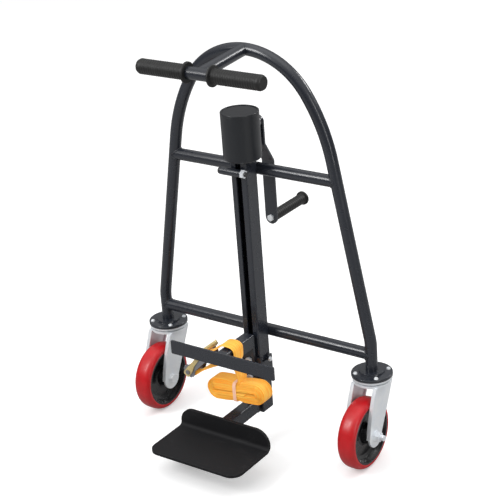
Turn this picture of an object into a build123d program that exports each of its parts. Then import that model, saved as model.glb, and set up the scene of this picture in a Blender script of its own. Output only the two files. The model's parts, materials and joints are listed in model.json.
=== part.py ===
from build123d import *
from math import atan2, cos, degrees, hypot, pi, radians, sin, tan
import os

# Crank-lift furniture mover, one unit of a strapped pair.
# Millimetres. +Z up, the load stands on the -Y side, the operator on the +Y side.
# The origin is on the floor, under the middle of the footprint. Shapes are drawn from the
# plane of the arch, where y is 0, and save() moves each one to the origin.

# ---- frame -------------------------------------------------------------------
TUBE_R = 12.5
TUBE_WALL = 2.0
CASTER_X = 261.0
CROWN_TOP_Z = 841.0
CROWN_R = 165.0
CROWN_HALF_ANGLE = 57.0
SHOULDER_R = 360.0
LEG_SPLAY = 10.7
LEG_BEND_R = 100.0
UPPER_CROSSBAR_Z = 595.7
LOWER_CROSSBAR_Z = 233.9

# ---- mast, a C-channel open towards the load ------------------------------------
MAST_SIZE = 38.0
MAST_WALL = 3.0
MAST_REAR_Y = -11.7
MAST_BOTTOM_Z = 63.3
MAST_TOP_Z = 626.0
SLOT_HALF = 6.5
MAST_FRONT_Y = MAST_REAR_Y - MAST_SIZE
SCREW_Y = MAST_REAR_Y - MAST_SIZE / 2
END_PLATE = 5.0

# ---- gear head ---------------------------------------------------------------------
HOUSING_R = 39.0
HOUSING_WALL = 3.0
HOUSING_BASE = 5.0
HOUSING_TOP_Z = 720.0
CAP_TOP_Z = 724.5
CRANK_Z = 684.5
BOSS_END_Y = 14.0
SHAFT_R = 7.0
RUNNING_GAP = 0.05

# ---- bevel gears and screw -----------------------------------------------------------
GEAR_MODULE = 2.0
SCREW_TEETH = 21
CRANK_TEETH = 14
SMALL_END = 0.66
SCREW_R = 8.0
THREAD_PITCH = 4.0
THREAD_DEPTH = 1.6
THREAD_BOTTOM_Z = 84.0
THREAD_TURNS = 118
BALL_R = 2.5

# ---- crank ---------------------------------------------------------------------------
CRANK_WIDTH = 28.0
CRANK_THICK = 5.0
CRANK_INNER_Y = 25.0
CRANK_OUTER_Y = 52.0
JOGGLE_TOP_Z = 637.0
JOGGLE_BOTTOM_Z = 593.0
GRIP_Z = 466.0
GRIP_END_Y = 174.0

# ---- T-handle ------------------------------------------------------------------------
HANDLE_Y = -145.7
HANDLE_Z = 831.5
HANDLE_HALF = 142.5
GRIP_LENGTH = 115.0
GRIP_R = 15.5
GRIP_RIBS = 18

# ---- carriage ------------------------------------------------------------------------
BRACKET_BOTTOM_Z = 131.0
BRACKET_TOP_Z = 192.0
CHEEK_TOP_Z = 178.0
EAR_TOP_Z = 186.0
REST_BAR_THICK = 4.0
BRACKET_HALF = 25.5
SHEET = 4.0
ARM_HALF = 12.5
ARM_HEIGHT = 30.0
LOWER_ARM_Z = 62.0
UPPER_ARM_Z = 215.0
PLATE_Z = 50.0
PLATE_THICK = 6.0
PLATE_HALF = 112.0
PLATE_FRONT_Y = -285.5
LIP_REAR_Y = -160.8
LIP_TOP_Z = 97.0
REST_BAR_HALF = 129.0
REST_BAR_FRONT_Y = -156.6

# ---- casters -------------------------------------------------------------------------
WHEEL_R = 75.0
WHEEL_HALF = 20.0
TRAIL = 43.0
FLANGE_R = 42.5
FLANGE_BOTTOM_Z = 190.0
FLANGE_TOP_Z = 196.0
BOLT_CIRCLE_R = 34.5
RACE_BALLS = 16
RACE_R = 24.0
CROWN_PLATE_TOP_Z = 181.4
RACE_BOTTOM_Z = 183.2
RACE_Z = (CROWN_PLATE_TOP_Z + RACE_BOTTOM_Z) / 2
FORK_INNER = 26.0
FORK_OUTER = 30.0
AXLE_R = 6.0

# ---- lashing strap -------------------------------------------------------------------
BUNDLE_Y = -105.0
LOOP_Y = -119.0
STRAP_WIDTH = 35.0
RATCHET_X = -100.0
RATCHET_Z = 172.0
RATCHET_LEAN = 45.0
RATCHET_TEETH = 13

GRIP_NUT_END_Y = GRIP_END_Y + 3.1
FOOTPRINT_MIDDLE_Y = (PLATE_FRONT_Y + GRIP_NUT_END_Y) / 2

os.makedirs("parts", exist_ok=True)


def save(part, name):
    placed = part.moved(Location((0, -FOOTPRINT_MIDDLE_Y, 0)))
    placed.label = name
    export_step(placed, f"parts/{name}.step")


def bar_along(plane, radius, length):
    """A round bar that starts on a plane and runs along its normal."""
    with BuildPart() as body:
        with BuildSketch(plane):
            Circle(radius)
        extrude(amount=length)
    return body.part


def hexagon_along(plane, across_flats, length):
    """A hexagonal bar that starts on a plane, with flats square to the plane's x axis."""
    with BuildPart() as body:
        with BuildSketch(plane):
            RegularPolygon(across_flats / 2, 6, major_radius=False, rotation=30)
        extrude(amount=length)
        end = body.faces().sort_by(Axis(plane.origin, plane.z_dir))[-1]
        chamfer(end.edges(), 0.8)
    return body.part


# ---- arch ----------------------------------------------------------------------------
crown_z = CROWN_TOP_Z - CROWN_R
crown_end = radians(CROWN_HALF_ANGLE)
shoulder_x = -(SHOULDER_R - CROWN_R) * sin(crown_end)
shoulder_z = crown_z - (SHOULDER_R - CROWN_R) * cos(crown_end)
leg_top_x = shoulder_x + SHOULDER_R * cos(radians(LEG_SPLAY))
leg_top_z = shoulder_z + SHOULDER_R * sin(radians(LEG_SPLAY))
leg_corner_z = leg_top_z - (CASTER_X - leg_top_x) / tan(radians(LEG_SPLAY))


def arch(outer, inner):
    """The bent frame tube: a round crown, easy shoulders, splayed legs, upright feet."""
    with BuildPart() as tube:
        with BuildLine(Plane.XZ) as path:
            CenterArc((0, crown_z), CROWN_R, 90, -CROWN_HALF_ANGLE)
            CenterArc(
                (shoulder_x, shoulder_z),
                SHOULDER_R,
                90 - CROWN_HALF_ANGLE,
                CROWN_HALF_ANGLE + LEG_SPLAY - 90,
            )
            FilletPolyline(
                (leg_top_x, leg_top_z),
                (CASTER_X, leg_corner_z),
                (CASTER_X, FLANGE_TOP_Z),
                radius=LEG_BEND_R,
            )
        with BuildSketch(Plane((0, 0, CROWN_TOP_Z), x_dir=(0, 1, 0), z_dir=(1, 0, 0))):
            Circle(outer)
            if inner > 0:
                Circle(inner, mode=Mode.SUBTRACT)
        sweep(path=path.line)
        mirror(about=Plane.YZ)
    return tube.part


arch_envelope = arch(TUBE_R, 0)
save(arch(TUBE_R, TUBE_R - TUBE_WALL), "arch_tube")


def crossbar(height, reach):
    """A straight tube between the legs, with its ends coped to them."""
    with BuildPart() as tube:
        with BuildSketch(Plane.YZ.offset(-reach)):
            with Locations((0, height)):
                Circle(TUBE_R)
                Circle(TUBE_R - TUBE_WALL, mode=Mode.SUBTRACT)
        extrude(amount=2 * reach)
        add(arch_envelope, mode=Mode.SUBTRACT)
    return tube.part.solids().sort_by(SortBy.VOLUME)[-1]


def leg_x(height):
    return leg_top_x + (leg_top_z - height) * tan(radians(LEG_SPLAY))


save(crossbar(UPPER_CROSSBAR_Z, leg_x(UPPER_CROSSBAR_Z) + 2 * TUBE_R), "upper_crossbar")
save(crossbar(LOWER_CROSSBAR_Z, CASTER_X + 2 * TUBE_R), "lower_crossbar")

# ---- mast ----------------------------------------------------------------------------
crossbar_envelopes = [
    bar_along(Plane.YZ.offset(-MAST_SIZE).shift_origin((-MAST_SIZE, 0, z)), TUBE_R, 2 * MAST_SIZE)
    for z in (UPPER_CROSSBAR_Z, LOWER_CROSSBAR_Z)
]

with BuildPart() as mast_channel:
    with BuildSketch(Plane.XY.offset(MAST_BOTTOM_Z)):
        with Locations((0, SCREW_Y)):
            RectangleRounded(MAST_SIZE, MAST_SIZE, 3.0)
            RectangleRounded(MAST_SIZE - 2 * MAST_WALL, MAST_SIZE - 2 * MAST_WALL, 0.8, mode=Mode.SUBTRACT)
        with Locations((0, MAST_FRONT_Y + MAST_WALL / 2)):
            Rectangle(2 * SLOT_HALF, 2 * MAST_WALL, mode=Mode.SUBTRACT)
    extrude(amount=MAST_TOP_Z - MAST_BOTTOM_Z)
    for envelope in crossbar_envelopes:
        add(envelope, mode=Mode.SUBTRACT)
save(mast_channel.part, "mast_channel")

BUSH_R = 11.0
with BuildPart() as mast_end_plate:
    with BuildSketch(Plane.XY.offset(MAST_BOTTOM_Z - END_PLATE)):
        with Locations((0, SCREW_Y)):
            RectangleRounded(MAST_SIZE, MAST_SIZE, 3.0)
            Circle(BUSH_R, mode=Mode.SUBTRACT)
    extrude(amount=END_PLATE)
    chamfer(mast_end_plate.edges().group_by(Axis.Z)[0].filter_by(GeomType.LINE), 1.0)
save(mast_end_plate.part, "mast_end_plate")

with BuildPart() as bottom_bush:
    with BuildSketch(Plane.XY.offset(MAST_BOTTOM_Z - END_PLATE)):
        with Locations((0, SCREW_Y)):
            Circle(BUSH_R)
            Circle(SCREW_R - 2 + RUNNING_GAP, mode=Mode.SUBTRACT)
    extrude(amount=END_PLATE)
    with BuildSketch(Plane.XY.offset(MAST_BOTTOM_Z)):
        with Locations((0, SCREW_Y)):
            Circle(BUSH_R + 3)
            Circle(SCREW_R - 2 + RUNNING_GAP, mode=Mode.SUBTRACT)
    extrude(amount=2.0)
save(bottom_bush.part, "bottom_bush")

# ---- T-handle ------------------------------------------------------------------------
stem_drop = (CROWN_TOP_Z - HANDLE_Z) / HANDLE_Y
stem_plane = Plane((0, 0, CROWN_TOP_Z), x_dir=(1, 0, 0), z_dir=(0, -1, stem_drop))
stem_length = (HANDLE_Y**2 + (CROWN_TOP_Z - HANDLE_Z) ** 2) ** 0.5
handle_left_end = Plane.YZ.offset(-HANDLE_HALF).shift_origin((-HANDLE_HALF, HANDLE_Y, HANDLE_Z))
handle_envelope = bar_along(handle_left_end, TUBE_R, 2 * HANDLE_HALF)

with BuildPart() as handle_stem:
    with BuildSketch(stem_plane):
        Circle(TUBE_R)
        Circle(TUBE_R - TUBE_WALL, mode=Mode.SUBTRACT)
    extrude(amount=stem_length)
    add(arch_envelope, mode=Mode.SUBTRACT)
    add(handle_envelope, mode=Mode.SUBTRACT)
save(handle_stem.part.solids().sort_by(SortBy.VOLUME)[-1], "handle_stem")

with BuildPart() as handle_crossbar:
    with BuildSketch(handle_left_end):
        Circle(TUBE_R)
        Circle(TUBE_R - TUBE_WALL, mode=Mode.SUBTRACT)
    extrude(amount=2 * HANDLE_HALF)
save(handle_crossbar.part, "handle_crossbar")


def ribbed_grip(bore, radius, length, ribs, flange):
    """Half-section of a rubber sleeve: a flange at x = 0, shallow ribs, a rounded end."""
    pitch = (length - 14) / ribs
    groove = 0.5
    points = [(0, bore), (0, flange - 1.5), (1.5, flange), (4.5, flange), (6, radius)]
    for i in range(ribs):
        start = 7 + i * pitch
        points += [
            (start, radius),
            (start + pitch * 0.3, radius - groove),
            (start + pitch * 0.6, radius - groove),
            (start + pitch * 0.9, radius),
        ]
    points += [(length - 3, radius), (length - 0.8, radius - 0.8), (length, radius - 2)]
    points += [(length, bore)]
    return points


def handle_grip(side):
    inner_x = side * (HANDLE_HALF - GRIP_LENGTH)
    plane = Plane((inner_x, HANDLE_Y, HANDLE_Z), x_dir=(side, 0, 0), z_dir=(0, -side, 0))
    with BuildPart() as grip:
        with BuildSketch(plane):
            with BuildLine():
                Polyline(ribbed_grip(TUBE_R, GRIP_R, GRIP_LENGTH, GRIP_RIBS, GRIP_R + 5.5), close=True)
            make_face()
        revolve(axis=Axis((inner_x, HANDLE_Y, HANDLE_Z), (side, 0, 0)))
        with BuildSketch(Plane((side * HANDLE_HALF, HANDLE_Y, HANDLE_Z), z_dir=(side, 0, 0))):
            Circle(GRIP_R - 2)
        extrude(amount=2.5, taper=12)
    return grip.part


save(handle_grip(-1), "left_handle_grip")
save(handle_grip(1), "right_handle_grip")

# ---- gear housing ----------------------------------------------------------------------
shaft_start = Plane((0, 0, CRANK_Z), x_dir=(1, 0, 0), z_dir=(0, 1, 0))
CRANK_BUSH_R = 10.0
SCREW_BORE_R = 12.0
THRUST_R = 16.0
thrust_z = MAST_TOP_Z + HOUSING_BASE + BALL_R * 0.6


def ball_groove(y, z, ring, ball):
    """A ring of circular section that the balls run in."""
    with BuildPart() as ring_body:
        with BuildSketch(Plane.XZ):
            with Locations((ring, 0)):
                Circle(ball + RUNNING_GAP)
        revolve(axis=Axis.Z)
    return ring_body.part.moved(Location((0, y, z)))


with BuildPart() as gear_housing:
    with BuildSketch(Plane.XY.offset(MAST_TOP_Z)):
        with Locations((0, SCREW_Y)):
            Circle(HOUSING_R)
    extrude(amount=HOUSING_TOP_Z - MAST_TOP_Z)
    chamfer(gear_housing.edges().group_by(Axis.Z)[0], 3.0)
    with BuildSketch(shaft_start.offset(-2)):
        Circle(CRANK_BUSH_R + 5)
    extrude(amount=BOSS_END_Y + 2)
    with BuildSketch(Plane.XY.offset(MAST_TOP_Z + HOUSING_BASE)):
        with Locations((0, SCREW_Y)):
            Circle(HOUSING_R - HOUSING_WALL)
    extrude(amount=HOUSING_TOP_Z - MAST_TOP_Z, mode=Mode.SUBTRACT)
    with BuildSketch(shaft_start.offset(-20)):
        Circle(CRANK_BUSH_R)
    extrude(amount=60, mode=Mode.SUBTRACT)
    with BuildSketch(Plane.XY.offset(MAST_TOP_Z)):
        with Locations((0, SCREW_Y)):
            Circle(SCREW_BORE_R)
    extrude(amount=20, mode=Mode.SUBTRACT)
    add(ball_groove(SCREW_Y, thrust_z, THRUST_R, BALL_R), mode=Mode.SUBTRACT)
save(gear_housing.part.solids().sort_by(SortBy.VOLUME)[-1], "gear_housing")

with BuildPart() as housing_cap:
    with BuildSketch(Plane.XY.offset(HOUSING_TOP_Z)):
        with Locations((0, SCREW_Y)):
            Circle(HOUSING_R)
    extrude(amount=CAP_TOP_Z - HOUSING_TOP_Z)
    fillet(housing_cap.edges().group_by(Axis.Z)[-1], 1.5)
    with BuildSketch(Plane.XY.offset(CAP_TOP_Z - 1.2)):
        with Locations((0, SCREW_Y)):
            Circle(HOUSING_R - 4)
    extrude(amount=5, mode=Mode.SUBTRACT)
    with BuildSketch(Plane.XY.offset(HOUSING_TOP_Z)):
        with Locations((0, SCREW_Y)):
            Circle(HOUSING_R - HOUSING_WALL - 0.1)
            Circle(HOUSING_R - HOUSING_WALL - 3, mode=Mode.SUBTRACT)
    extrude(amount=-6)
save(housing_cap.part, "housing_cap")

with BuildPart() as crank_bush:
    with BuildSketch(shaft_start.offset(2)):
        Circle(CRANK_BUSH_R)
        Circle(SHAFT_R + RUNNING_GAP, mode=Mode.SUBTRACT)
    extrude(amount=BOSS_END_Y - 2)
    with BuildSketch(shaft_start.offset(BOSS_END_Y)):
        Circle(CRANK_BUSH_R + 2)
        Circle(SHAFT_R + RUNNING_GAP, mode=Mode.SUBTRACT)
    extrude(amount=1.5)
save(crank_bush.part, "crank_bush")

# ---- bevel gears -------------------------------------------------------------------------
SCREW_PITCH_R = GEAR_MODULE * SCREW_TEETH / 2
CRANK_PITCH_R = GEAR_MODULE * CRANK_TEETH / 2


def tooth_outline(plane, teeth, pitch_r, addendum, dedendum, phase, scale):
    """The outline of a straight bevel gear on one plane square to its axis."""
    step = 2 * pi / teeth
    corners = ((-0.29, -dedendum), (-0.12, addendum), (0.12, addendum), (0.29, -dedendum))
    points = []
    for i in range(teeth):
        for offset, height in corners:
            angle = (i + offset) * step + phase
            radius = (pitch_r + height) * scale
            points.append((radius * cos(angle), radius * sin(angle)))
    with BuildSketch(plane) as outline:
        with BuildLine():
            Polyline(points, close=True)
        make_face()
    return outline.sketch


def bevel_gear(apex, axis, teeth, pitch_r, distance, addendum, dedendum, phase):
    """A straight bevel gear whose teeth all point to the apex where the two shafts meet."""
    x_dir = (1, 0, 0)
    back = Plane(apex, x_dir=x_dir, z_dir=axis).offset(distance)
    front = Plane(apex, x_dir=x_dir, z_dir=axis).offset(distance * SMALL_END)
    large = tooth_outline(back, teeth, pitch_r, addendum, dedendum, phase, 1.0)
    small = tooth_outline(front, teeth, pitch_r, addendum, dedendum, phase, SMALL_END)
    with BuildPart() as gear:
        loft([large.faces()[0], small.faces()[0]], ruled=True)
    return gear.part


apex = (0, SCREW_Y, CRANK_Z)
SCREW_GEAR_HUB_R = 11.0
hub_bottom_z = thrust_z + BALL_R * 0.6
gear_back_z = CRANK_Z - CRANK_PITCH_R
gear_front_z = CRANK_Z - CRANK_PITCH_R * SMALL_END

with BuildPart() as screw_gear:
    add(bevel_gear(apex, (0, 0, -1), SCREW_TEETH, SCREW_PITCH_R, CRANK_PITCH_R, 1.5, 2.8, -pi / 2))
    with BuildSketch(Plane.XY.offset(hub_bottom_z)):
        with Locations((0, SCREW_Y)):
            Circle(THRUST_R + 4)
    extrude(amount=5)
    with BuildSketch(Plane.XY.offset(hub_bottom_z + 5)):
        with Locations((0, SCREW_Y)):
            Circle(SCREW_GEAR_HUB_R)
    extrude(amount=gear_back_z - hub_bottom_z - 5)
    with BuildSketch(Plane.XY.offset(hub_bottom_z)):
        with Locations((0, SCREW_Y)):
            Circle(SCREW_R)
    extrude(amount=60, mode=Mode.SUBTRACT)
    add(ball_groove(SCREW_Y, thrust_z, THRUST_R, BALL_R), mode=Mode.SUBTRACT)
save(screw_gear.part.solids().sort_by(SortBy.VOLUME)[-1], "screw_gear")

with BuildPart() as crank_pinion:
    add(
        bevel_gear(
            apex,
            (0, 1, 0),
            CRANK_TEETH,
            CRANK_PITCH_R,
            SCREW_PITCH_R,
            1.5,
            2.0,
            pi / 2 + pi / CRANK_TEETH,
        )
    )
    with BuildSketch(shaft_start.offset(SCREW_Y + SCREW_PITCH_R)):
        Circle(10)
    extrude(amount=8)
    with BuildSketch(shaft_start.offset(SCREW_Y)):
        Circle(SHAFT_R - 1)
    extrude(amount=60, mode=Mode.SUBTRACT)
save(crank_pinion.part, "crank_pinion")

with BuildPart() as thrust_balls:
    for i in range(12):
        angle = 2 * pi * i / 12
        with Locations((THRUST_R * cos(angle), SCREW_Y + THRUST_R * sin(angle), thrust_z)):
            Sphere(BALL_R)
save(thrust_balls.part, "thrust_balls")

# ---- lead screw --------------------------------------------------------------------------
with BuildPart() as lead_screw:
    with BuildSketch(Plane.XZ.offset(-SCREW_Y)):
        with BuildLine():
            root = SCREW_R - THREAD_DEPTH
            points = [(0, MAST_BOTTOM_Z - 3), (SCREW_R - 2, MAST_BOTTOM_Z - 3)]
            points += [(SCREW_R - 2, MAST_BOTTOM_Z + 2), (SCREW_R, MAST_BOTTOM_Z + 2)]
            for i in range(THREAD_TURNS):
                z = THREAD_BOTTOM_Z + i * THREAD_PITCH
                points += [(SCREW_R, z), (root, z + 1), (root, z + 2), (SCREW_R, z + 3)]
            points += [(SCREW_R, gear_front_z - 0.5), (0, gear_front_z - 0.5)]
            Polyline(points, close=True)
        make_face()
    revolve(axis=Axis((0, SCREW_Y, 0), (0, 0, 1)))
save(lead_screw.part, "lead_screw")

# ---- crank -------------------------------------------------------------------------------
pinion_front_y = SCREW_Y + SCREW_PITCH_R * SMALL_END
with BuildPart() as crank_shaft:
    with BuildSketch(shaft_start.offset(pinion_front_y)):
        Circle(SHAFT_R - 1)
    extrude(amount=-pinion_front_y + 1)
    with BuildSketch(shaft_start.offset(1)):
        Circle(SHAFT_R)
    extrude(amount=CRANK_INNER_Y - 1)
    with BuildSketch(shaft_start.offset(BOSS_END_Y + 1.6)):
        Circle(CRANK_WIDTH / 2 - 2)
    extrude(amount=CRANK_INNER_Y - BOSS_END_Y - 1.6)
    with BuildSketch(shaft_start.offset(CRANK_INNER_Y)):
        Circle(SHAFT_R - 1)
    extrude(amount=CRANK_THICK + 1)
    chamfer(crank_shaft.edges().group_by(Axis.Y)[-1], 0.8)
save(crank_shaft.part, "crank_shaft")

GRIP_BOLT_R = 4.0
with BuildPart() as crank_arm:
    with BuildSketch(Plane.YZ.offset(-CRANK_WIDTH / 2)):
        with BuildLine():
            FilletPolyline(
                (CRANK_INNER_Y, CRANK_Z + CRANK_WIDTH / 2),
                (CRANK_INNER_Y, JOGGLE_TOP_Z),
                (CRANK_OUTER_Y, JOGGLE_BOTTOM_Z),
                (CRANK_OUTER_Y, GRIP_Z - CRANK_WIDTH / 2),
                radius=9,
            )
            offset(amount=CRANK_THICK, side=Side.LEFT, closed=True)
        make_face()
    extrude(amount=CRANK_WIDTH)
    with BuildSketch(Plane.XZ.offset(-CRANK_OUTER_Y - 40)):
        with Locations((0, (CRANK_Z + GRIP_Z) / 2)):
            SlotCenterToCenter(CRANK_Z - GRIP_Z, CRANK_WIDTH, rotation=90)
    extrude(amount=80, mode=Mode.INTERSECT)
    with BuildSketch(shaft_start):
        Circle(SHAFT_R - 1)
    extrude(amount=60, mode=Mode.SUBTRACT)
    with BuildSketch(Plane((0, 0, GRIP_Z), x_dir=(1, 0, 0), z_dir=(0, 1, 0))):
        Circle(GRIP_BOLT_R)
    extrude(amount=90, mode=Mode.SUBTRACT)
save(crank_arm.part, "crank_arm")

grip_face_y = CRANK_OUTER_Y + CRANK_THICK
grip_start = Plane((0, 0, GRIP_Z), x_dir=(1, 0, 0), z_dir=(0, 1, 0))
with BuildPart() as grip_bolt:
    with BuildSketch(grip_start.offset(CRANK_OUTER_Y)):
        Circle(GRIP_BOLT_R)
    extrude(amount=GRIP_END_Y - CRANK_OUTER_Y + 1)
    add(hexagon_along(Plane((0, CRANK_OUTER_Y, GRIP_Z), x_dir=(1, 0, 0), z_dir=(0, -1, 0)), 13, 5.3))
    with BuildSketch(grip_start.offset(GRIP_END_Y - 3)):
        Circle(8)
    extrude(amount=1.6)
    add(hexagon_along(grip_start.offset(GRIP_END_Y - 1.4), 11, 4.5))
save(grip_bolt.part, "grip_bolt")

with BuildPart() as crank_grip:
    with BuildSketch(Plane((0, GRIP_END_Y, GRIP_Z), x_dir=(0, -1, 0), z_dir=(1, 0, 0))):
        with BuildLine():
            grip_length = GRIP_END_Y - grip_face_y - 0.5
            Polyline(ribbed_grip(GRIP_BOLT_R + RUNNING_GAP, 11.5, grip_length, 16, 15.0), close=True)
        make_face()
    revolve(axis=Axis((0, 0, GRIP_Z), (0, 1, 0)))
    with BuildSketch(grip_start.offset(GRIP_END_Y - 3.1)):
        Circle(9)
    extrude(amount=10, mode=Mode.SUBTRACT)
save(crank_grip.part, "crank_grip")

# ---- strap anchor bolt across the top of the mast -------------------------------------------
ANCHOR_R = 8.0
ANCHOR_NUT = 15.6
ANCHOR_Z = 603.0
ANCHOR_LEFT = -36.0
ANCHOR_RIGHT = 14.0
anchor_y = MAST_FRONT_Y - ANCHOR_R + 0.1
anchor_plane = Plane((ANCHOR_LEFT, anchor_y, ANCHOR_Z), x_dir=(0, 1, 0), z_dir=(1, 0, 0))
with BuildPart() as strap_anchor_sleeve:
    with BuildSketch(anchor_plane):
        Circle(ANCHOR_R)
        Circle(5.0, mode=Mode.SUBTRACT)
        with Locations((MAST_FRONT_Y - anchor_y + 2, 0)):
            Rectangle(4, 20, mode=Mode.SUBTRACT)
    extrude(amount=ANCHOR_RIGHT - ANCHOR_LEFT)
save(strap_anchor_sleeve.part, "strap_anchor_sleeve")

with BuildPart() as strap_anchor_bolt:
    with BuildSketch(anchor_plane):
        Circle(5.0)
    extrude(amount=ANCHOR_RIGHT - ANCHOR_LEFT + 11)
    with BuildSketch(anchor_plane):
        Circle(ANCHOR_R - 0.4)
    extrude(amount=-5)
    fillet(strap_anchor_bolt.edges().group_by(Axis.X)[0], 2.5)
save(strap_anchor_bolt.part, "strap_anchor_bolt")

with BuildPart() as strap_anchor_nut:
    add(hexagon_along(anchor_plane.offset(ANCHOR_RIGHT - ANCHOR_LEFT), ANCHOR_NUT, 8))
    with BuildSketch(anchor_plane.offset(ANCHOR_RIGHT - ANCHOR_LEFT)):
        Circle(5.0)
    extrude(amount=10, mode=Mode.SUBTRACT)
save(strap_anchor_nut.part, "strap_anchor_nut")

# ---- carriage ----------------------------------------------------------------------------
WEB_REAR_Y = MAST_FRONT_Y - 1.5
WEB_FRONT_Y = WEB_REAR_Y - SHEET
SPINE_FRONT_Y = WEB_FRONT_Y - 6.0
NUT_R = 13.0
CHEEK_REAR_Y = MAST_REAR_Y - 2.8
PAD_HEIGHT = 12.0
BLOCK_BOTTOM_Z = 139.0
BLOCK_TOP_Z = 194.0
SCREW_HEIGHTS = (146.0, 186.0)
SCREW_TIP_Y = -44.4
CHEEK_BOLT_Y = -23.0
CHEEK_BOLT_Z = 177.0
EAR_FRONT_Y = -30.0
SIDE_PAD_Y = (CHEEK_BOLT_Y + MAST_FRONT_Y + 8) / 2
M6_R = 3.0
M8_R = 4.0
M8_FLATS = 13.0
M8_HEAD = 5.3

with BuildPart() as carriage_block:
    with BuildSketch(Plane.XY.offset(BLOCK_BOTTOM_Z)):
        with Locations((0, SCREW_Y)):
            RectangleRounded(29.0, 29.0, 1.5)
    extrude(amount=BLOCK_TOP_Z - BLOCK_BOTTOM_Z)
    with BuildSketch(Plane.XY.offset(BLOCK_BOTTOM_Z)):
        with Locations((0, (SCREW_Y + WEB_REAR_Y) / 2)):
            Rectangle(2 * SLOT_HALF - 0.5, SCREW_Y - WEB_REAR_Y)
    extrude(amount=BLOCK_TOP_Z - BLOCK_BOTTOM_Z)
    with BuildSketch(Plane.XY.offset(BLOCK_BOTTOM_Z)):
        with Locations((0, SCREW_Y)):
            Circle(NUT_R)
    extrude(amount=BLOCK_TOP_Z - BLOCK_BOTTOM_Z, mode=Mode.SUBTRACT)
    for z in SCREW_HEIGHTS:
        with BuildSketch(Plane((0, SPINE_FRONT_Y, z), x_dir=(1, 0, 0), z_dir=(0, 1, 0))):
            Circle(M8_R)
        extrude(amount=SCREW_TIP_Y - SPINE_FRONT_Y, mode=Mode.SUBTRACT)
save(carriage_block.part, "carriage_block")

with BuildPart() as lift_nut:
    with BuildSketch(Plane.XY.offset(BLOCK_BOTTOM_Z)):
        with Locations((0, SCREW_Y)):
            Circle(NUT_R)
            Circle(SCREW_R + RUNNING_GAP, mode=Mode.SUBTRACT)
    extrude(amount=BLOCK_TOP_Z - BLOCK_BOTTOM_Z)
save(lift_nut.part, "lift_nut")

with BuildPart() as wear_pads:
    for low in (BLOCK_BOTTOM_Z - PAD_HEIGHT, BLOCK_TOP_Z):
        with BuildSketch(Plane.XY.offset(low)):
            with Locations((0, SCREW_Y)):
                RectangleRounded(31.7, 31.7, 1.0)
                Circle(SCREW_R + 1, mode=Mode.SUBTRACT)
        extrude(amount=PAD_HEIGHT)
save(wear_pads.part, "wear_pads")

web_front = Plane((0, SPINE_FRONT_Y, 0), x_dir=(1, 0, 0), z_dir=(0, -1, 0))
with BuildPart() as carriage_bracket:
    with BuildSketch(Plane.XY.offset(BRACKET_BOTTOM_Z)):
        with BuildLine():
            FilletPolyline(
                (-BRACKET_HALF, CHEEK_REAR_Y),
                (-BRACKET_HALF, WEB_FRONT_Y),
                (BRACKET_HALF, WEB_FRONT_Y),
                (BRACKET_HALF, CHEEK_REAR_Y),
                radius=5,
            )
            offset(amount=SHEET, side=Side.LEFT, closed=True)
        make_face()
    extrude(amount=BRACKET_TOP_Z - BRACKET_BOTTOM_Z)
    fillet(carriage_bracket.edges().filter_by(Axis.X).group_by(Axis.Y)[-1], 6)
    with BuildSketch(Plane.YZ.offset(-2 * BRACKET_HALF)):
        with BuildLine():
            Polyline(
                (MAST_FRONT_Y, BRACKET_TOP_Z),
                (MAST_FRONT_Y, CHEEK_TOP_Z),
                (EAR_FRONT_Y, CHEEK_TOP_Z),
                (EAR_FRONT_Y + 3, EAR_TOP_Z),
                (0, EAR_TOP_Z),
                (0, BRACKET_TOP_Z),
                close=True,
            )
        make_face()
    extrude(amount=4 * BRACKET_HALF, mode=Mode.SUBTRACT)
    with BuildSketch(web_front):
        with Locations(*[(0, z) for z in SCREW_HEIGHTS]):
            Circle(M8_R)
    extrude(amount=-20, mode=Mode.SUBTRACT)
    with BuildSketch(Plane.YZ.offset(-40)):
        with Locations((CHEEK_BOLT_Y, CHEEK_BOLT_Z)):
            Circle(M6_R)
    extrude(amount=80, mode=Mode.SUBTRACT)
save(carriage_bracket.part, "carriage_bracket")

with BuildPart() as side_pads:
    for side in (-1, 1):
        inner = side * (MAST_SIZE / 2 + 0.15)
        outer = side * (BRACKET_HALF - SHEET)
        with BuildSketch(Plane.YZ.offset(inner)):
            with Locations((SIDE_PAD_Y, (BRACKET_BOTTOM_Z + CHEEK_TOP_Z) / 2)):
                RectangleRounded(24, 40, 3)
        extrude(amount=outer - inner)
save(side_pads.part, "side_pads")

with BuildPart() as side_bolts:
    for side in (-1, 1):
        tip = Plane((side * (BRACKET_HALF - SHEET), CHEEK_BOLT_Y, CHEEK_BOLT_Z), z_dir=(side, 0, 0))
        with BuildSketch(tip):
            Circle(M6_R)
        extrude(amount=SHEET)
        with BuildSketch(tip.offset(SHEET)):
            Circle(5.5)
        extrude(amount=3.5, taper=20)
save(side_bolts.part, "side_bolts")

with BuildPart() as carriage_spine:
    with BuildSketch(web_front):
        with Locations((0, (LOWER_ARM_Z + UPPER_ARM_Z + ARM_HEIGHT) / 2)):
            Rectangle(2 * ARM_HALF, UPPER_ARM_Z + ARM_HEIGHT - LOWER_ARM_Z)
        with Locations(*[(0, z) for z in SCREW_HEIGHTS]):
            Circle(M8_R, mode=Mode.SUBTRACT)
    extrude(amount=-(WEB_FRONT_Y - SPINE_FRONT_Y))
    fillet(carriage_spine.edges().filter_by(Axis.Y).group_by(Axis.Z)[-1], 3)
save(carriage_spine.part, "carriage_spine")

with BuildPart() as carriage_screws:
    for z in SCREW_HEIGHTS:
        with BuildSketch(web_front):
            with Locations((0, z)):
                Circle(M8_R)
        extrude(amount=-(SCREW_TIP_Y - SPINE_FRONT_Y))
        add(hexagon_along(web_front.shift_origin((0, SPINE_FRONT_Y, z)), M8_FLATS, M8_HEAD))
save(carriage_screws.part, "carriage_screws")


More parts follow.
